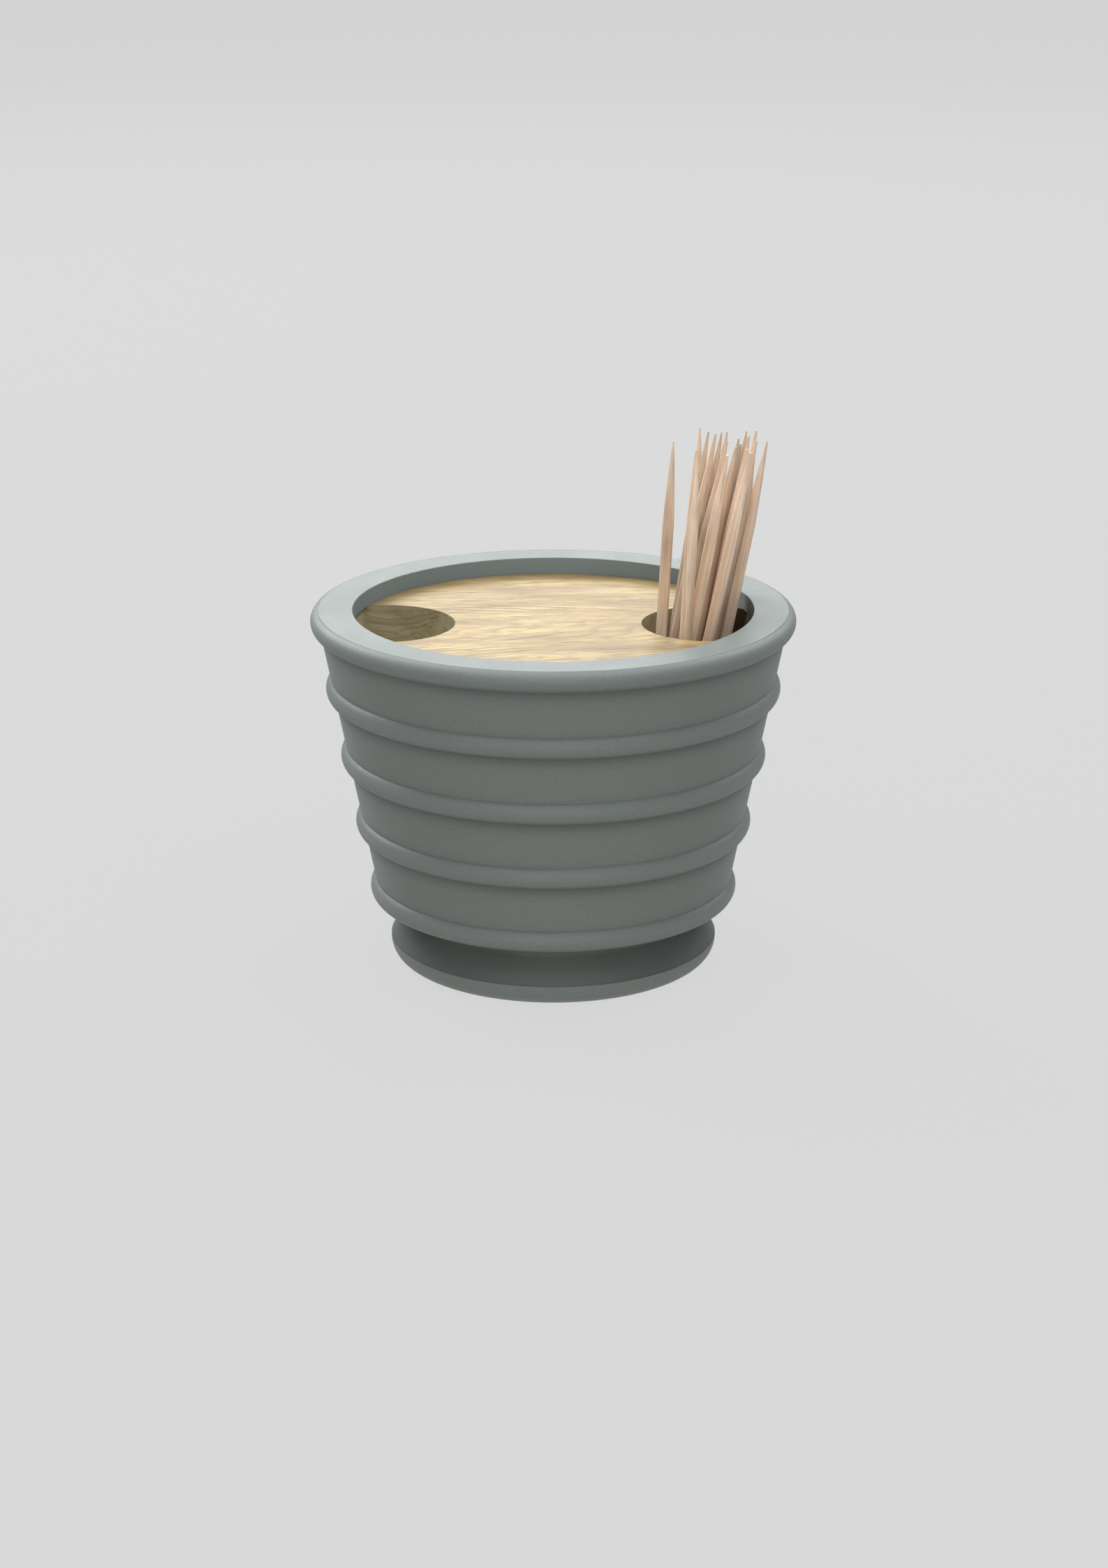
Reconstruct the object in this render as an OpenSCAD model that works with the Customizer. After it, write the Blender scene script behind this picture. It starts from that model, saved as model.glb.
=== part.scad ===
// Toothpick holder: a turned pot with four raised beads, a flat ring let into its
// rim, a wooden block with two wells under the ring, and the toothpicks that
// stand in one of the wells. The ring is glued to the block and both lift out.
// Millimetres, +Z up, origin on the table under the pot's axis, front towards -Y.

/* [Pot] */
// Width across the rolled lip
rim_d = 88; // [84:0.5:96]
// Height of the pot
pot_h = 66.2; // [63:0.1:72]
// Radius of the rolled lip
lip_r = 2; // [1.6:0.1:2.4]
// How far the lip stands out from the wall
lip_proud = 1.4; // [1:0.1:1.8]
// How much of the lip's round is cut off flat at the top
lip_cut = 0.1; // [0.05:0.05:0.4]
// Wall thickness of the pot
wall_t = 3; // [2.2:0.1:3.6]
// Thickness of the pot's floor
floor_t = 4; // [2.5:0.1:5]

/* [Foot] */
// Width of the foot
foot_d = 60.3; // [56:0.1:64]
// Height of the foot's upright band
foot_h = 4.1; // [3.8:0.1:4.6]
// Rounding of the foot's lower edge
foot_round = 3.6; // [1:0.1:3.6]
// How far the foot stands out from the line of the wall above it
foot_step = 0.3; // [0:0.1:1]
// Flat left on the foot's top edge
foot_land = 0.1; // [0.05:0.05:0.5]
// Depth of the hollow neck, from the foot's edge
neck_depth = 3; // [2.4:0.1:3.4]
// Radius of the round where the neck runs in under the lowest bead
cove_r = 2.4; // [1.8:0.1:2.8]

/* [Beads] */
// Number of raised beads round the wall
bead_count = 4; // [3:1:5]
// Radius of a bead's section
bead_r = 2.15; // [1.8:0.05:2.4]
// How deep a bead's centre lies inside the wall
bead_bury = 0.85; // [0.6:0.05:1.1]
// Height of the lowest bead
bead_low = 13.5; // [13:0.1:14.5]

/* [Ring] */
// Width of the ring's flat top, from the seam to the opening
ring_w = 6.18; // [5:0.02:7]
// Thickness of the ring, and so the depth of the wood below the rim
ring_t = 3.1; // [2.5:0.1:4]
// Rounding of the ring's inner top edge
ring_edge = 0.1; // [0.05:0.05:0.5]

/* [Wooden block] */
// Thickness of the block
block_t = 36; // [34:0.5:40]
// Chamfer round the block's lower edge
block_chamfer = 1; // [0.5:0.1:2]
// Depth of both wells
well_depth = 31; // [26:0.5:32]
// Wood left between a well and the block's side
well_wall = 2; // [1.6:0.1:2.4]
// Width of the well that holds the toothpicks
pick_well_d = 24.3; // [23:0.1:26]
// Distance of that well's centre inside the ring's opening
pick_well_inset = 8.2; // [7:0.1:9]
// Width of the empty well
free_well_d = 25.5; // [20:0.1:27]
// Distance of the empty well's centre inside the ring's opening
free_well_inset = 5.8; // [5:0.1:9]

/* [Toothpicks] */
// Length of a toothpick
pick_len = 65; // [62:0.5:68]
// Thickness of a toothpick
pick_d = 2.1; // [1.8:0.05:2.2]
// Length of each point
pick_point = 15.5; // [10:0.5:20]
// Thickness at the very tip
pick_tip_d = 0.28; // [0.2:0.02:0.5]

/* [Fits] */
// Gap round the ring where it drops into the lip
ring_fit = 0.1; // [0.05:0.05:0.3]
// Gap between the block's side and the pot's wall
block_fit = 0.3; // [0.2:0.05:0.6]
// Gap under the ring, over the ledge that carries it
seat_gap = 0.1; // [0.05:0.05:0.2]
// Gap under each toothpick's point
pick_gap = 0.2; // [0.1:0.05:0.3]

/* [Hidden] */
$fn = 96;
// Overrun of every cut past the face that it opens
over = 1;
// Steps along a toothpick's point
point_steps = 6;

rim_r = rim_d / 2;
foot_r = foot_d / 2;
lip_x = rim_r - lip_r;
lip_rise = lip_r - lip_cut;
lip_z = pot_h - lip_rise;

// The wall is a cone from the foot's line on the table to the lip's centre
wall_low_r = foot_r - foot_step;
wall_top_r = rim_r - lip_proud;
wall_lean = atan((wall_top_r - wall_low_r) / lip_z);
function wall_r(z) = wall_low_r + z * tan(wall_lean);
function inner_r(z) = wall_r(z) - wall_t;

// The neck is a cone from the foot's edge, with a round that it touches under the lowest bead
neck_r = foot_r - neck_depth;
neck_low_r = foot_r - foot_land;
cove_x = neck_r + cove_r;
cove_z = bead_low - bead_r / 2 - cove_r;
neck_reach = norm([cove_x - neck_low_r, cove_z - foot_h]);
neck_run = sqrt(pow(neck_reach, 2) - pow(cove_r, 2));
neck_turn = atan2(cove_z - foot_h, cove_x - neck_low_r) + asin(cove_r / neck_reach);

bead_pitch = (lip_z - bead_low) / bead_count;
floor_z = bead_low + bead_r;

// The seam is where the lip's round meets its flat top
seam_r = lip_x + sqrt(pow(lip_r, 2) - pow(lip_rise, 2));
wood_z = pot_h - ring_t;
seat_z = wood_z - seat_gap;
ring_out_r = seam_r - ring_fit;
ring_in_r = ring_out_r - ring_w;

block_low = wood_z - block_t;
well_z = wood_z - well_depth;
function block_r(z) = inner_r(z) - block_fit;
pick_well_x = ring_in_r - pick_well_inset;
free_well_x = free_well_inset - ring_in_r;

// How far a toothpick's axis can stand from the middle of its well
pick_room = (pick_well_d - pick_d) / 2;

// Each toothpick's place, as shares of that room: its foot to the right and back,
// then its head to the right and back. The front row comes first.
pick_place_shares = [
    [-0.52, -0.63, -0.26, -0.81],
    [-0.79, -0.39,  0.28, -0.52],
    [-0.54, -0.39,  0.62, -0.52],
    [-0.90, -0.15, -0.61, -0.19],
    [-0.69, -0.17,  0.40, -0.15],
    [-0.45, -0.18,  0.57, -0.30],
    [-0.90,  0.04,  0.26,  0.21],
    [-0.67,  0.04,  0.49,  0.13],
    [-0.44,  0.04,  0.76,  0.17],
    [-0.21,  0.04,  0.93,  0.35],
    [-0.98,  0.22,  0.11,  0.71],
    [-0.73,  0.20,  0.33,  0.76],
    [-0.47,  0.26,  0.51,  0.47],
    [-0.26,  0.30,  0.65,  0.70],
    [-0.91,  0.48,  0.00,  0.91],
    [-0.69,  0.44,  0.22,  1.00],
    [-0.35,  0.54,  0.61,  1.06],
    [-0.10,  0.56,  0.85,  1.10],
    [-0.30,  0.76, -0.13,  1.14]
];
pick_count = len(pick_place_shares);
function pick_name(i) = str("toothpick_", i < 9 ? "0" : "", i + 1);

// Half section of the pot's outside: coned wall, hollow neck, foot, beads and lip
module pot_outline() {
    difference() {
        polygon([[0, foot_h], [wall_r(foot_h), foot_h], [wall_top_r, lip_z], [0, lip_z]]);
        neck_outline();
    }
    foot_outline();
    for (i = [0:bead_count - 1]) bead_outline(bead_low + i * bead_pitch);
    intersection() {
        union() {
            translate([lip_x, lip_z]) circle(lip_r);
            translate([0, lip_z]) square([lip_x, lip_rise]);
        }
        square([rim_r, pot_h]);
    }
}

// What is cut from the wall: all outside the neck's cone, up to the round and the bead
module neck_outline() {
    polygon([[neck_low_r, foot_h],
             [neck_low_r + neck_run * cos(neck_turn), foot_h + neck_run * sin(neck_turn)],
             [cove_x, cove_z], [rim_r, cove_z], [rim_r, foot_h]]);
    translate([cove_x, cove_z]) circle(cove_r);
    translate([cove_x, cove_z]) square([rim_r - cove_x, cove_r]);
}

// The foot is an upright band with a large round below
module foot_outline() {
    square([foot_r - foot_round, foot_h]);
    translate([0, foot_round]) square([foot_r, foot_h - foot_round]);
    intersection() {
        translate([foot_r - foot_round, foot_round]) circle(foot_round);
        square([foot_r, foot_h]);
    }
}

// A bead is a round moulding sunk square into the sloping wall
module bead_outline(z) {
    translate([wall_r(z) - bead_bury * cos(wall_lean), z + bead_bury * sin(wall_lean)]) circle(bead_r);
}

// What is hollow: the ring's rebate, the room for the block and the space in the foot
module pot_hollow() {
    translate([0, seat_z]) square([seam_r, pot_h - seat_z + over]);
    polygon([[0, floor_z], [inner_r(floor_z), floor_z], [inner_r(seat_z), seat_z],
             [inner_r(seat_z), seat_z + ring_t / 2], [0, seat_z + ring_t / 2]]);
    translate([0, -over]) square([neck_r - wall_t, floor_z - floor_t + over]);
}

// Moulded pot with a matt grey-green finish, one piece from foot to lip
module pot_body() {
    color("#8a938e") rotate_extrude() difference() {
        pot_outline();
        pot_hollow();
    }
}

// Flat ring, let in flush with the lip and glued to the top of the block
module rim_ring() {
    color("#c1c9c7") rotate_extrude() difference() {
        translate([ring_in_r, wood_z]) square([ring_w, ring_t]);
        translate([ring_in_r, pot_h]) rotate(45) square(ring_edge * sqrt(2), center = true);
    }
}

// A straight-sided bore that stops short of the block's sloping side
module well(x, d) {
    intersection() {
        translate([x, 0, well_z]) cylinder(d = d, h = well_depth + over);
        translate([0, 0, well_z]) cylinder(r1 = block_r(well_z) - well_wall,
                                           r2 = block_r(wood_z + over) - well_wall,
                                           h = well_depth + over);
    }
}

// Turned wooden block with two wells, its side sloping like the pot's wall
module wood_insert() {
    color("#e8d3aa") difference() {
        rotate_extrude() polygon([[0, block_low], [block_r(block_low) - block_chamfer, block_low],
                                  [block_r(block_low + block_chamfer), block_low + block_chamfer],
                                  [block_r(wood_z), wood_z], [0, wood_z]]);
        well(pick_well_x, pick_well_d);
        well(free_well_x, free_well_d);
    }
}

// Half thickness of a toothpick at a share of its point, slightly bellied
function point_r(share) = (pick_tip_d + (pick_d - pick_tip_d) * (share + sin(90 * share)) / 2) / 2;

// Round toothpick of one size throughout, with a point at both ends
module pick() {
    shares = [for (k = [0:point_steps]) k / point_steps];
    low = [for (s = shares) [point_r(s), s * pick_point]];
    high = [for (k = [point_steps:-1:0]) [point_r(shares[k]), pick_len - shares[k] * pick_point]];
    rotate_extrude() polygon(concat([[0, 0]], low, high, [[0, pick_len]]));
}

// A toothpick stands on the well's floor and leans from its foot to its head
module toothpick(i) {
    foot = [pick_place_shares[i][0], pick_place_shares[i][1]] * pick_room;
    head = [pick_place_shares[i][2], pick_place_shares[i][3]] * pick_room;
    lean = asin(norm(head - foot) / pick_len);
    turn = atan2(head[1] - foot[1], head[0] - foot[0]);
    color("#d9b893") translate([pick_well_x + foot[0], foot[1], well_z + pick_gap]) rotate([0, lean, turn]) pick();
}

pot_body();
rim_ring();
wood_insert();
for (i = [0:pick_count - 1]) toothpick(i);
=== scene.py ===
"""Looks of a toothpick holder: a matt grey-green pot with four raised beads, a flat
ring let into its rim, an oak block with two wells, and nineteen birch toothpicks.

All lengths are metres, +Z is up and the front faces -Y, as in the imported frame.
"""

import math

import bpy
import numpy as np
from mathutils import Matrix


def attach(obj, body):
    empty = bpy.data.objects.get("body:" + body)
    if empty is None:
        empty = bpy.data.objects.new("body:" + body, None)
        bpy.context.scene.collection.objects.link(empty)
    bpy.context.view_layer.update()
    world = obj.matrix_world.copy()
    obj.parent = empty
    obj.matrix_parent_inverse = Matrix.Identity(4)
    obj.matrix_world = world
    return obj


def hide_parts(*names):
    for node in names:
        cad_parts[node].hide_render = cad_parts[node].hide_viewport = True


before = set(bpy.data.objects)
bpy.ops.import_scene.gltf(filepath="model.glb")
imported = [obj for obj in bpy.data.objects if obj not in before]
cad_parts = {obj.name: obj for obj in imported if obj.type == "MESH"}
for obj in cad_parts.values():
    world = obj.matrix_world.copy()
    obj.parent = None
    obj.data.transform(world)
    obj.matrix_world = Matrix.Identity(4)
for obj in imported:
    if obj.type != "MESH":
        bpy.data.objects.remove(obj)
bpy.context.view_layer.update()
MM = 0.001


# Pot and ring
# The pot is one moulding from foot to lip, and the flat ring is a second one, glued to
# the block and dropped into the lip. Both have the same soft matt coat, so one material
# serves both, and the fine gap between them shows as the hairline seam in the rim.

# Height of the lowest bead, from one bead to the next, and top of the foot
BEAD_LOW = 13.5 * MM
BEAD_PITCH = 12.7 * MM
FOOT_TOP = 4.1 * MM


def linear(hex_colour):
    """An sRGB hex colour as linear red, green, blue and alpha."""
    parts = [int(hex_colour[i:i + 2], 16) / 255 for i in (1, 3, 5)]
    return [c / 12.92 if c <= 0.04045 else ((c + 0.055) / 1.055) ** 2.4 for c in parts] + [1.0]


def new_material(name):
    """An empty node material, as (material, its node tree)."""
    material = bpy.data.materials.new(name)
    material.use_nodes = True
    material.node_tree.nodes.clear()
    return material, material.node_tree


def add(tree, kind, inputs=None, **settings):
    """Adds a node. Each of its inputs is linked to the socket given for it, or set to the value given."""
    node = tree.nodes.new("ShaderNode" + kind)
    for key, value in settings.items():
        setattr(node, key, value)
    for key, value in (inputs or {}).items():
        if isinstance(value, bpy.types.NodeSocket):
            tree.links.new(value, node.inputs[key])
        else:
            node.inputs[key].default_value = value
    return node


def noise(tree, vector, width, detail=2.0, roughness=0.5):
    """Noise with features of that width, from 0 to 1."""
    return add(tree, "TexNoise", {"Vector": vector, "Scale": 1 / width, "Detail": detail,
                                  "Roughness": roughness}).outputs["Fac"]


def spread(tree, value, low, high, to_low=0.0, to_high=1.0, **settings):
    """The value's way from low to high, held at both ends, as a number from to_low to to_high."""
    return add(tree, "MapRange", {"Value": value, "From Min": low, "From Max": high, "To Min": to_low,
                                  "To Max": to_high}, **settings).outputs[0]


def calc(tree, operation, *values, **settings):
    """That sum of the values."""
    return add(tree, "Math", dict(enumerate(values)), operation=operation, **settings).outputs[0]


def blend(tree, share, under, over):
    """The colour under, with that share of the colour over on it."""
    return add(tree, "Mix", {0: share, 6: under, 7: over}, data_type="RGBA").outputs[2]


# Moulded plastic under a soft-touch lacquer: a flat grey-green with no gloss of its own,
# a sandy grain that only shows where light rakes across it, and faint clouding.
soft_lacquer, tree = new_material("soft_touch_lacquer_grey_green")
coordinates = add(tree, "TexCoord")
place = coordinates.outputs["Object"]
# The lacquer's grit is about 0.05 mm. It is drawn as 0.24 mm, so that it shows at all.
grit = noise(tree, place, 0.24 * MM, roughness=0.7)
# Clouds 12 mm wide, from how the coat was sprayed
clouds = noise(tree, place, 12 * MM, detail=3.0)
flecks = blend(tree, spread(tree, grit, 0.3, 0.7), linear("#696f6b"), linear("#7a807b"))
coat = blend(tree, spread(tree, clouds, 0.3, 0.7, 0.0, 0.35), flecks, linear("#727975"))
# Painted light: the ring's inner wall, where the surface faces the axis, is painted a little lighter and bluer
# than the rest of the coat
outwards = add(tree, "VectorMath", {0: place, 1: coordinates.outputs["Normal"]},
               operation="DOT_PRODUCT").outputs["Value"]
inner_wall_painted_light = blend(tree, spread(tree, outwards, -30 * MM, -34 * MM), coat, linear("#7b888b"))
# Painted shade: the coat is painted darker in the creases, where ambient occlusion within 5 mm
# finds them, most of all on the 3 mm of wall right under each
# bead and under the lip, and on the neck from the lowest bead down to the foot's edge
painted_crease_shade = add(tree, "AmbientOcclusion", {"Distance": 5 * MM}, only_local=True, samples=8)
crease_shade_share = spread(tree, painted_crease_shade.outputs["AO"], 0.45, 0.95, 0.6, 1.0)
height = add(tree, "SeparateXYZ", {"Vector": place}).outputs["Z"]
above_foot = spread(tree, height, FOOT_TOP - 0.02 * MM, FOOT_TOP + 0.04 * MM)
painted_neck_shade = calc(tree, "MULTIPLY", above_foot, spread(tree, height, 11 * MM, 4.2 * MM, 0.0, 0.4))
# The share of the way from one bead up to the next. The next bead's lower edge is at 0.84.
pitches = calc(tree, "MULTIPLY_ADD", height, 1 / BEAD_PITCH, -BEAD_LOW / BEAD_PITCH)
share = calc(tree, "FRACT", pitches)
nearing = calc(tree, "POWER", spread(tree, share, 0.62, 0.84), 2.0)
painted_shade_under_bead = calc(tree, "MULTIPLY", nearing, spread(tree, share, 0.84, 0.93, 0.3, 0.0))
painted_shade_share = calc(tree, "SUBTRACT", crease_shade_share, calc(tree, "MAXIMUM", painted_neck_shade, painted_shade_under_bead))
coat_with_painted_shade = add(tree, "VectorMath", {0: inner_wall_painted_light, "Scale": painted_shade_share}, operation="SCALE")
raised = add(tree, "Bump", {"Height": grit, "Strength": 0.35, "Distance": 0.04 * MM})
shader = add(tree, "BsdfPrincipled", {"Base Color": coat_with_painted_shade.outputs[0], "IOR": 1.44,
                                      "Roughness": spread(tree, clouds, 0.3, 0.7, 0.5, 0.58),
                                      "Normal": raised.outputs[0]})
add(tree, "OutputMaterial", {"Surface": shader.outputs[0]})

for name in ("pot_body", "rim_ring"):
    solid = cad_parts[name].data
    solid.materials.clear()
    solid.materials.append(soft_lacquer)

# A thread of sealer fills the seam to just under the rim, so that the gap shows as a fine soft
# line. It is a square ring, turned round the axis against the ring's outer side. It stands
# nearly flush at the back, and its top sinks towards the front with the sine of the turn.
THREAD_WIDTH = 0.085 * MM
THREAD_DEPTH = 0.5 * MM
TURNS = 240
corners = np.array([v.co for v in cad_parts["rim_ring"].data.vertices])
outer, top = np.hypot(corners[:, 0], corners[:, 1]).max(), corners[:, 2].max()
turn = np.arange(TURNS)[:, None] * 2 * np.pi / TURNS
sunk = (0.015 + 0.2 * np.clip(0.1 - np.sin(turn), 0, 1)) * MM
section = np.array([[0, -THREAD_DEPTH], [THREAD_WIDTH, -THREAD_DEPTH], [THREAD_WIDTH, 0], [0, 0]])
points = np.stack([(outer + section[:, 0]) * np.cos(turn), (outer + section[:, 0]) * np.sin(turn),
                   top + section[:, 1] - sunk], axis=2).reshape(-1, 3)
i, j = np.meshgrid(np.arange(TURNS), np.arange(4), indexing="ij")
this, following, other = i * 4, (i + 1) % TURNS * 4, (j + 1) % 4
quads = np.stack([this + j, following + j, following + other, this + other], axis=2).reshape(-1, 4)
thread_mesh = bpy.data.meshes.new("seam_sealer")
thread_mesh.from_pydata(points.tolist(), [], quads.tolist())
thread_mesh.materials.append(soft_lacquer)
sealer = bpy.data.objects.new("seam_sealer", thread_mesh)
bpy.context.scene.collection.objects.link(sealer)
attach(sealer, "insert")


# Wooden block
# A round of pale oak, turned to the pot's taper, with two wells bored straight down. It is
# planed and lightly oiled, with the grain from left to right, and glued under the ring.

# Oak, planed and oiled: cream wood with fine tan growth lines, close together at the front and
# back and spread into soft clouds in the middle, where the board is cut flat. The bores are
# painted greyer and more olive, as painted shade, and show the same lines going down.
oak, tree = new_material("oak_planed_and_oiled")
coordinates = add(tree, "TexCoord")
place = coordinates.outputs["Object"]
# The log's pith lies 38 mm over the table, 25 mm below the board's top. It runs from left to
# right, turned a little and sinking, so that the lines at the front climb towards the right.
from_pith = add(tree, "Mapping", {"Vector": place, "Location": (0, 1 * MM, -38 * MM),
                                  "Rotation": (0, math.radians(-7), math.radians(-5))},
                vector_type="POINT").outputs[0]
stretched = add(tree, "Mapping", {"Vector": from_pith, "Scale": (0.12, 1, 1)}, vector_type="POINT").outputs[0]
drawn_out = add(tree, "Mapping", {"Vector": from_pith, "Scale": (0.06, 1, 1)}, vector_type="POINT").outputs[0]
split = add(tree, "SeparateXYZ", {"Vector": from_pith})
across = add(tree, "CombineXYZ", {"X": 0.0, "Y": split.outputs["Y"], "Z": split.outputs["Z"]})
radius = add(tree, "VectorMath", {0: across.outputs[0]}, operation="LENGTH").outputs["Value"]
swayed = calc(tree, "MULTIPLY_ADD", noise(tree, stretched, 11 * MM, detail=3.0), 3.6 * MM, radius)
# Growth rings 0.8 mm apart, each dark towards its outer side
ring = calc(tree, "FRACT", calc(tree, "MULTIPLY", swayed, 1 / (0.8 * MM)))
late = spread(tree, ring, 0.55, 0.9, interpolation_type="SMOOTHSTEP")
line = calc(tree, "MULTIPLY", late, spread(tree, ring, 0.9, 1.0, 1.0, 0.0))
# The lines fade in and out over the board,
strength = spread(tree, noise(tree, stretched, 4 * MM, detail=3.0), 0.38, 0.64, 0.15, 1.0)
# and are weakest in the middle, where the board is cut flat
aside = calc(tree, "ABSOLUTE", split.outputs["Y"])
edgeward = spread(tree, aside, 3 * MM, 16 * MM, 0.35, 1.0, interpolation_type="SMOOTHSTEP")
lines = calc(tree, "MULTIPLY", line, calc(tree, "MULTIPLY", strength, edgeward))
# Broad pale and olive streaks, and fibres of 0.5 mm
streaky = spread(tree, noise(tree, stretched, 3.6 * MM, 4.0, 0.6), 0.36, 0.64)
fibrous = spread(tree, noise(tree, drawn_out, 0.5 * MM, 2.0, 0.6), 0.53, 0.68, 0.0, 0.7)
# Long brown bands 1.8 mm wide, strongest at the front and back
banded = spread(tree, noise(tree, drawn_out, 1.8 * MM, 3.0, 0.6), 0.5, 0.66, 0.0, 0.6)
# A bore is where the surface stands upright. The figure is fainter there, and the wood is
# painted greyer and more olive, as painted shade.
upright = add(tree, "SeparateXYZ", {"Vector": coordinates.outputs["Normal"]})
bored = spread(tree, upright.outputs["Z"], 0.3, 0.6, 1.0, 0.0)
on_top = calc(tree, "SUBTRACT", 1.0, bored)
fainter = spread(tree, bored, 0.0, 1.0, 1.0, 0.45)
planed = blend(tree, streaky, linear("#8c754d"), linear("#b69e6b"))
bore_painted_shade = blend(tree, streaky, linear("#948a6b"), linear("#b3a887"))
wood = blend(tree, bored, planed, bore_painted_shade)
# Painted shade: inside the right-hand well the far end is painted dark
sides = add(tree, "SeparateXYZ", {"Vector": place})
painted_shade_far_end = spread(tree, sides.outputs["X"], 28 * MM, 34 * MM, 0.0, 0.88)
with_well_end_shade = blend(tree, calc(tree, "MULTIPLY", painted_shade_far_end, bored), wood, linear("#2e261a"))
# Painted shadow: the wood against the ring, from 30.5 mm out, is painted darker and browner, for the shade of the
# ring's wall
flat_place = add(tree, "CombineXYZ", {"X": sides.outputs["X"], "Y": sides.outputs["Y"], "Z": 0.0})
from_axis = add(tree, "VectorMath", {0: flat_place.outputs[0]}, operation="LENGTH").outputs["Value"]
painted_ring_shadow = spread(tree, from_axis, 30.5 * MM, 36.5 * MM, 0.0, 0.65, interpolation_type="SMOOTHSTEP")
with_ring_shadow = blend(tree, calc(tree, "MULTIPLY", painted_ring_shadow, on_top), with_well_end_shade, linear("#5c5036"))
# The bands, the growth lines and the fibres, one over the other
top_band = calc(tree, "MULTIPLY", calc(tree, "MULTIPLY", banded, edgeward), on_top)
streaked = blend(tree, top_band, with_ring_shadow, linear("#755e38"))
lined = blend(tree, calc(tree, "MULTIPLY", lines, fainter), streaked, linear("#614a2b"))
board = blend(tree, calc(tree, "MULTIPLY", fibrous, fainter), lined, linear("#6e5835"))
dipped = add(tree, "Bump", {"Height": fibrous, "Strength": 0.25, "Distance": 0.05 * MM}, invert=True)
shader = add(tree, "BsdfPrincipled", {"Base Color": board, "Roughness": 0.55, "IOR": 1.45,
                                      "Normal": dipped.outputs[0]})
add(tree, "OutputMaterial", {"Surface": shader.outputs[0]})

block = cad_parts["wood_insert"].data
block.materials.clear()
block.materials.append(oak)


# Toothpicks
# Round birch toothpicks, 65 mm long and just over 2 mm thick, turned to a long point at both
# ends and tumbled. No two are alike: some are thinner or browner, and on some the point has
# broken off short and shows its pale inside. They stand loose in the right-hand well.

# For each toothpick: its thickness, and how brown it is at the point and lower down, as shares,
# the lower share being its own brown with painted shade for the shade between the toothpicks;
# the width of its upper end, where more than BROKEN is a broken point; and how far the tip is
# bent to the right and up, in millimetres
TOOTHPICKS = {
    "toothpick_01": (1.05, 0.00, 0.00, 0.46, 0.00, 0.00), "toothpick_02": (1.03, 0.00, 0.00, 0.44, -0.42, -0.75),
    "toothpick_03": (1.02, 0.00, 0.00, 0.62, 0.00, 0.00), "toothpick_04": (0.97, 0.05, 0.26, 0.26, 0.00, 0.00),
    "toothpick_05": (1.01, 0.20, 0.42, 0.42, 0.00, 0.00), "toothpick_06": (1.02, 0.05, 0.31, 0.55, 0.00, -0.25),
    "toothpick_07": (1.00, 0.10, 0.51, 0.28, 0.17, 0.30), "toothpick_08": (1.01, 0.40, 0.45, 0.34, 0.00, 0.00),
    "toothpick_09": (1.02, 0.12, 0.20, 0.28, -0.13, 0.47), "toothpick_10": (1.04, 0.20, 0.06, 0.24, 0.00, 0.00),
    "toothpick_11": (1.02, 0.08, 0.33, 0.40, 0.00, 0.50), "toothpick_12": (1.00, 0.18, 0.45, 0.34, -0.38, 0.83),
    "toothpick_13": (1.00, 0.35, 0.49, 0.28, -0.42, -0.25), "toothpick_14": (1.00, 0.18, 0.35, 0.46, 0.00, -0.25),
    "toothpick_15": (1.01, 0.28, 0.39, 0.26, 0.00, 0.00), "toothpick_16": (1.00, 0.28, 0.45, 0.26, 0.00, -0.25),
    "toothpick_17": (1.00, 0.28, 0.41, 0.26, 0.25, -0.11), "toothpick_18": (1.00, 0.12, 0.29, 0.36, -0.65, 0.00),
    "toothpick_19": (0.99, 0.15, 0.35, 0.28, 0.00, -0.67),
}
BROKEN = 0.3
# This one has split, and its right side stands up as a splinter that long
SPLIT, SPLINTER = "toothpick_02", 0.85 * MM
# Length of a point, full thickness, thickness at a whole tip, and corners round a toothpick
POINT = 15.5 * MM
FULL = 2.1 * MM
WHOLE_TIP = 0.28 * MM
AROUND = 24


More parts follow.
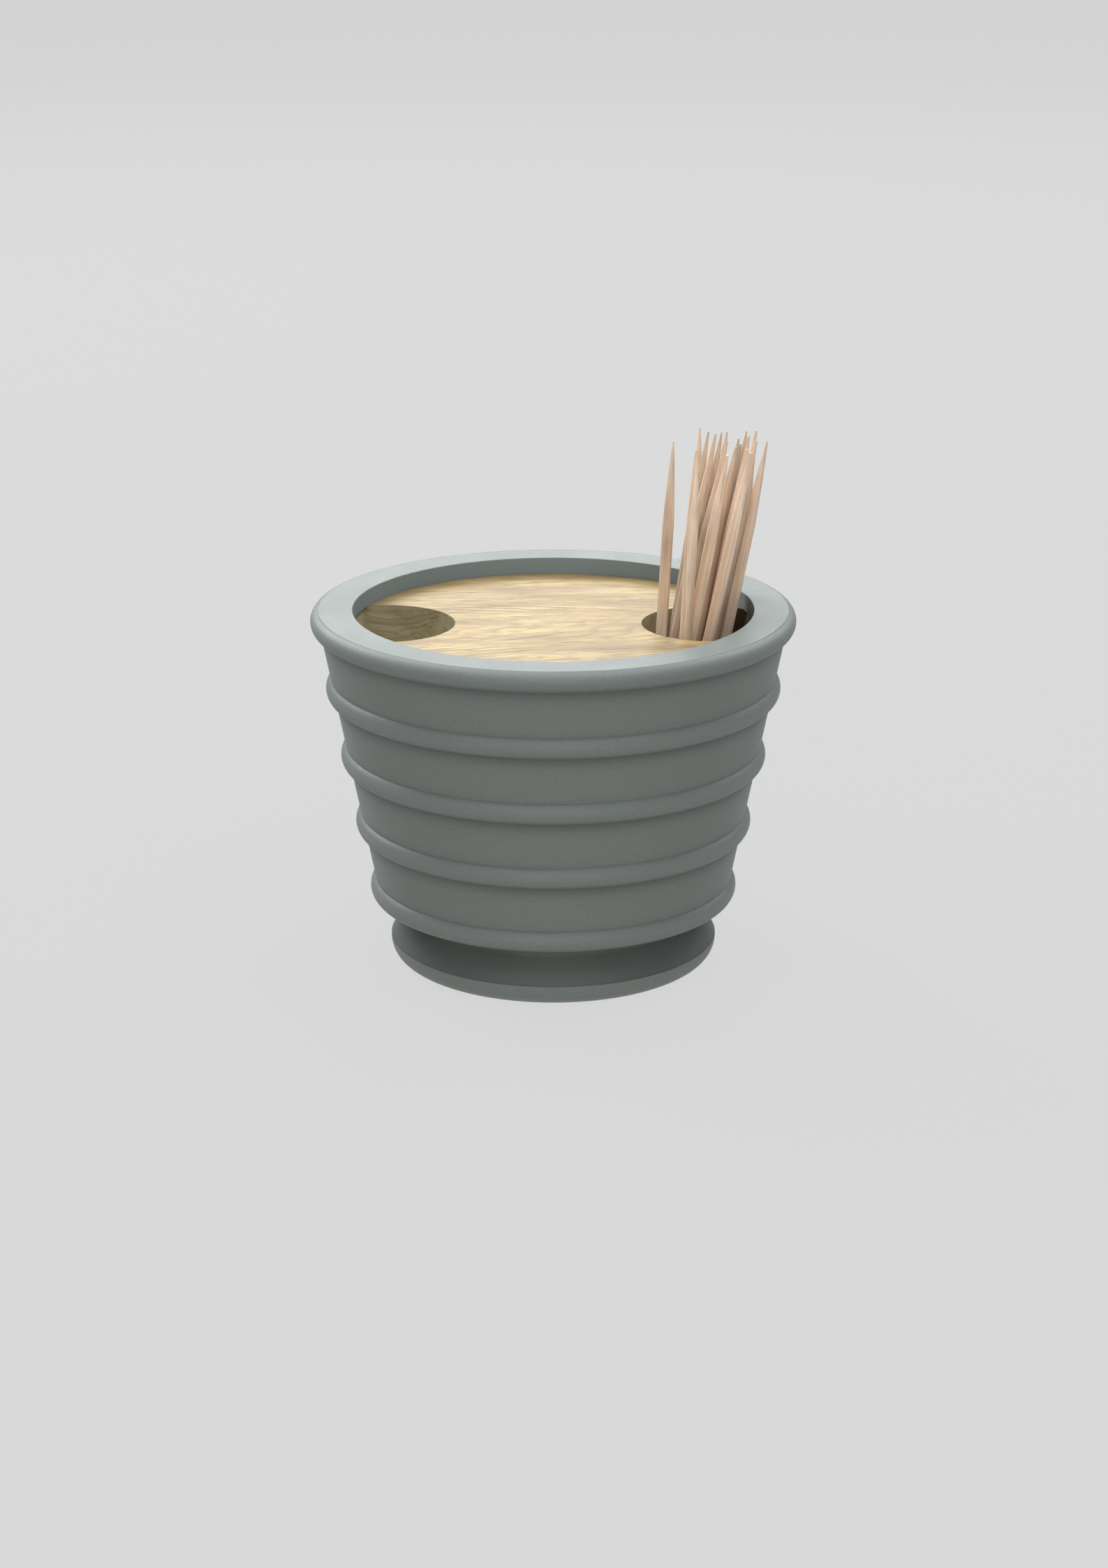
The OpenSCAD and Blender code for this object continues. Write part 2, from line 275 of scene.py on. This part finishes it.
def toothpick_mesh(name, thick, brown, low_brown_and_shade, blunt, right, up, seed):
    """Rings round the CAD toothpick's own axis. A ring's radius is the CAD one: full, and over each
    point the mean of a straight taper and a sine. It is scaled by the thickness, pressed a little
    flat by a cosine of twice the angle, and bent off the axis by slow sines. The upper half leans
    on to the tip's place, with the way along it to the power of 1.5."""
    corners = np.array([v.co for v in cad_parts[name].data.vertices])
    middle = (corners.min(0) + corners.max(0)) / 2
    direction = np.linalg.svd(corners - middle, full_matrices=False)[2][0]
    direction *= np.sign(direction[2])
    reach = (corners - middle) @ direction
    low, high = reach.min(), reach.max()
    length = high - low
    side = np.cross([0.0, 1.0, 0.0], direction)
    side /= np.linalg.norm(side)
    back = np.cross(direction, side)

    rng = np.random.default_rng(seed)
    ends = (1 - np.cos(np.linspace(0, np.pi / 2, 22))) * POINT
    body = np.linspace(POINT, length - POINT, 24)[1:-1]
    along = np.concatenate([ends, body, length - ends[::-1]])
    to_top = np.clip((length - along) / POINT, 0, 1)
    to_foot = np.clip(along / POINT, 0, 1)

    def taper(share, end):
        """The thickness at that share of the way from an end of that thickness to the full one."""
        return end + (FULL * thick - end) * (share + np.sin(np.pi / 2 * share)) / 2

    half = np.minimum(taper(to_top, blunt * MM), taper(to_foot, WHOLE_TIP)) / 2

    angle = np.arange(AROUND) * 2 * np.pi / AROUND
    flat, twist = rng.uniform(0.01, 0.03), rng.uniform(0, 6.3)
    grooves = 0.012 * np.sin(7 * angle + rng.uniform(0, 6.3)) + 0.01 * np.sin(4 * angle + rng.uniform(0, 6.3))
    shape = 1 - flat * np.cos(2 * angle + twist) + grooves
    radius = half[:, None] * shape[None, :]
    bend = 0.03 * MM * np.sin(along[:, None] / (9 * MM) + rng.uniform(0, 6.3, 2)) * to_top[:, None]
    height = along[:, None] + np.zeros(AROUND)
    if blunt > BROKEN:
        # A broken point ends in a slant with a few fibres standing up
        height[-1] -= np.abs(blunt * MM * (0.5 * np.cos(angle + twist) + 0.25 * np.sin(5 * angle)))
    if name == SPLIT:
        height[-1] += SPLINTER * np.clip(np.cos(angle), 0, 1) ** 4
    x = radius * np.cos(angle) + bend[:, :1]
    y = radius * np.sin(angle) + bend[:, 1:]
    tips = [[bend[0, 0], bend[0, 1], 0], [bend[-1, 0], bend[-1, 1], height[-1].mean()]]
    local = np.concatenate([np.stack([x, y, height], axis=2).reshape(-1, 3), tips])
    points = (middle + np.outer(local[:, 0], side) + np.outer(local[:, 1], back)
              + np.outer(local[:, 2] + low, direction))
    lean = np.clip(2 * local[:, 2] / length - 1, 0, 1) ** 1.5
    points += np.outer(lean, [right * MM, 0, up * MM])

    # Quads between the rings, and a fan of triangles to the tip at each end
    rows = len(along)
    last = (rows - 1) * AROUND
    j = np.arange(AROUND)
    k = (j + 1) % AROUND
    start = np.arange(rows - 1)[:, None] * AROUND
    quads = np.stack([start + j, start + k, start + AROUND + k, start + AROUND + j], axis=2).reshape(-1, 4)
    foot = np.stack([np.full(AROUND, rows * AROUND), k, j], axis=1)
    top = np.stack([np.full(AROUND, rows * AROUND + 1), last + j, last + k], axis=1)
    mesh = bpy.data.meshes.new(name + "_shaped")
    mesh.from_pydata(points.tolist(), [], quads.tolist() + foot.tolist() + top.tolist())
    mesh.polygons.foreach_set("use_smooth", np.arange(len(mesh.polygons)) < len(quads))

    # Where each point lies in the toothpick's own wood, each one cut from another place
    fibres = mesh.attributes.new("fibres", "FLOAT_VECTOR", "POINT")
    fibres.data.foreach_set("vector", (local + rng.uniform(0, 1, 3)).astype(np.float32).ravel())
    # From the tip's brown to the lower brown and painted shade, between 7 and 20 mm below the tip
    down = np.clip((length - local[:, 2] - 7 * MM) / (13 * MM), 0, 1)
    brown_and_painted_shade = mesh.attributes.new("brown_and_painted_shade", "FLOAT", "POINT")
    brown_and_painted_shade.data.foreach_set("value", (brown + (low_brown_and_shade - brown) * down * down * (3 - 2 * down)).astype(np.float32))
    pale = np.zeros(len(points), np.float32)
    if blunt > BROKEN:
        pale[last:last + AROUND] = 0.8
        pale[-1] = 1
    fresh = mesh.attributes.new("fresh_break", "FLOAT", "POINT")
    fresh.data.foreach_set("value", pale)
    return mesh


# Birch, turned and tumbled, with no finish: peach wood with darker fibres running from
# end to end, dull all over, and a pale break where a point is gone.
birch, tree = new_material("birch_turned_raw")
fibres = add(tree, "Attribute", attribute_name="fibres").outputs["Vector"]
brown_and_painted_shade = add(tree, "Attribute", attribute_name="brown_and_painted_shade").outputs["Fac"]
fresh = add(tree, "Attribute", attribute_name="fresh_break").outputs["Fac"]
drawn_out = add(tree, "Mapping", {"Vector": fibres, "Scale": (1, 1, 0.03)}, vector_type="POINT").outputs[0]
# Fibres about 0.25 mm wide, in bundles of 0.8 mm
fine = noise(tree, drawn_out, 0.25 * MM, roughness=0.55)
bundles = noise(tree, drawn_out, 0.8 * MM)
patches = noise(tree, fibres, 9 * MM)
wood = blend(tree, spread(tree, bundles, 0.3, 0.7), linear("#debea2"), linear("#f8e0c7"))
threaded = blend(tree, spread(tree, fine, 0.48, 0.7, 0.0, 0.4), wood, linear("#a98a6f"))
brown_and_shade_share = calc(tree, "ADD", brown_and_painted_shade, spread(tree, patches, 0.3, 0.7, -0.1, 0.12), use_clamp=True)
# Painted shade: lower down, the inner toothpicks are painted towards near-black brown, for the shade between them,
# on top of their own brown
toned_and_shaded = blend(tree, brown_and_shade_share, threaded, linear("#2b2219"))
broken = blend(tree, fresh, toned_and_shaded, linear("#fff0d8"))
ribbed = add(tree, "Bump", {"Height": fine, "Strength": 0.4, "Distance": 0.03 * MM})
# The browner the wood and the more painted shade on it, the duller
shader = add(tree, "BsdfPrincipled", {"Base Color": broken, "Roughness": 0.7, "IOR": 1.5,
                                      "Specular IOR Level": spread(tree, brown_and_shade_share, 0.0, 1.0, 0.5, 0.0),
                                      "Normal": ribbed.outputs[0]})
add(tree, "OutputMaterial", {"Surface": shader.outputs[0]})

for seed, (name, values) in enumerate(TOOTHPICKS.items()):
    shaped = bpy.data.objects.new(name + "_shaped", toothpick_mesh(name, *values, seed))
    shaped.data.materials.append(birch)
    bpy.context.scene.collection.objects.link(shaped)
    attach(shaped, name)
    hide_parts(name)


# Floor and backdrop
# A plain pale light table that fills the picture as in the photograph: it glows evenly, lights
# the pot's sides from below, and takes only the softest shadow.
FAR = 6
floor_mesh = bpy.data.meshes.new("floor")
floor_mesh.from_pydata([(-FAR, -FAR, 0), (FAR, -FAR, 0), (FAR, FAR, 0), (-FAR, FAR, 0)], [], [(0, 1, 2, 3)])
floor = bpy.data.objects.new("floor", floor_mesh)
bpy.context.scene.collection.objects.link(floor)
paper, tree = new_material("pale_paper")
glow = add(tree, "Emission", {"Color": linear("#d2d2d2"), "Strength": 1.0})
lit = add(tree, "BsdfDiffuse", {"Color": linear("#303030")})
both = add(tree, "AddShader", {0: glow.outputs[0], 1: lit.outputs[0]})
add(tree, "OutputMaterial", {"Surface": both.outputs[0]})
floor_mesh.materials.append(paper)

# Light
# A very large soft box straight overhead, three smaller ones behind that rake over the rim and
# graze the pot's sides, the left one strongest, and a weak low one in front. The room is dark,
# apart from what shines in the lacquer. The camera sees it at the backdrop's grey.
world = bpy.data.worlds.new("studio")
bpy.context.scene.world = world
world.use_nodes = True
tree = world.node_tree
tree.nodes.clear()
sight = add(tree, "LightPath")
room = add(tree, "Background", {"Color": linear("#ffffff"), "Strength": 0.02})
grey = add(tree, "Background", {"Color": linear("#d9d9d9"), "Strength": 1.0})
by_eye = add(tree, "MixShader", {0: sight.outputs["Is Camera Ray"], 1: room.outputs[0], 2: grey.outputs[0]})
add(tree, "OutputWorld", {"Surface": by_eye.outputs[0]})

MIDDLE = (0, 0, 0.04)


def soft_box(name, place, size, watts, colour):
    """A square soft box at that place, aimed at the holder's middle."""
    light = bpy.data.lights.new(name, "AREA")
    light.size = size
    light.energy = watts
    light.color = linear(colour)[:3]
    lamp = bpy.data.objects.new(name, light)
    aim = np.array(place) - MIDDLE
    lamp.location = place
    lamp.rotation_euler = (math.atan2(math.hypot(aim[0], aim[1]), aim[2]), 0, math.atan2(aim[0], -aim[1]))
    bpy.context.scene.collection.objects.link(lamp)


soft_box("overhead_box", (0, -0.15, 1.25), 1.8, 30.5, "#f9fcff")
soft_box("back_box", (0, 1.2, 0.67), 0.5, 6.2, "#f8fbff")
soft_box("back_left_box", (-0.75, 0.75, 0.75), 0.6, 12.0, "#fbfdff")
soft_box("back_right_box", (0.75, 0.75, 0.75), 0.6, 5.5, "#fbfdff")
soft_box("front_box", (0, -1.4, 0.3), 0.9, 6.0, "#fffffb")

# Camera
# The photograph's view: from the front, looking down by 17.9 degrees, with a long lens
LOOKS_DOWN = 17.93
eye = bpy.data.cameras.new("camera")
eye.sensor_fit = "VERTICAL"
eye.sensor_height = 36
eye.lens = 78.57
camera = bpy.data.objects.new("camera", eye)
camera.location = (0.00013, -0.59971, 0.2265)
camera.rotation_euler = (math.radians(90 - LOOKS_DOWN), 0, 0)
bpy.context.scene.collection.objects.link(camera)
bpy.context.scene.camera = camera
bpy.context.scene.view_settings.view_transform = "Standard"
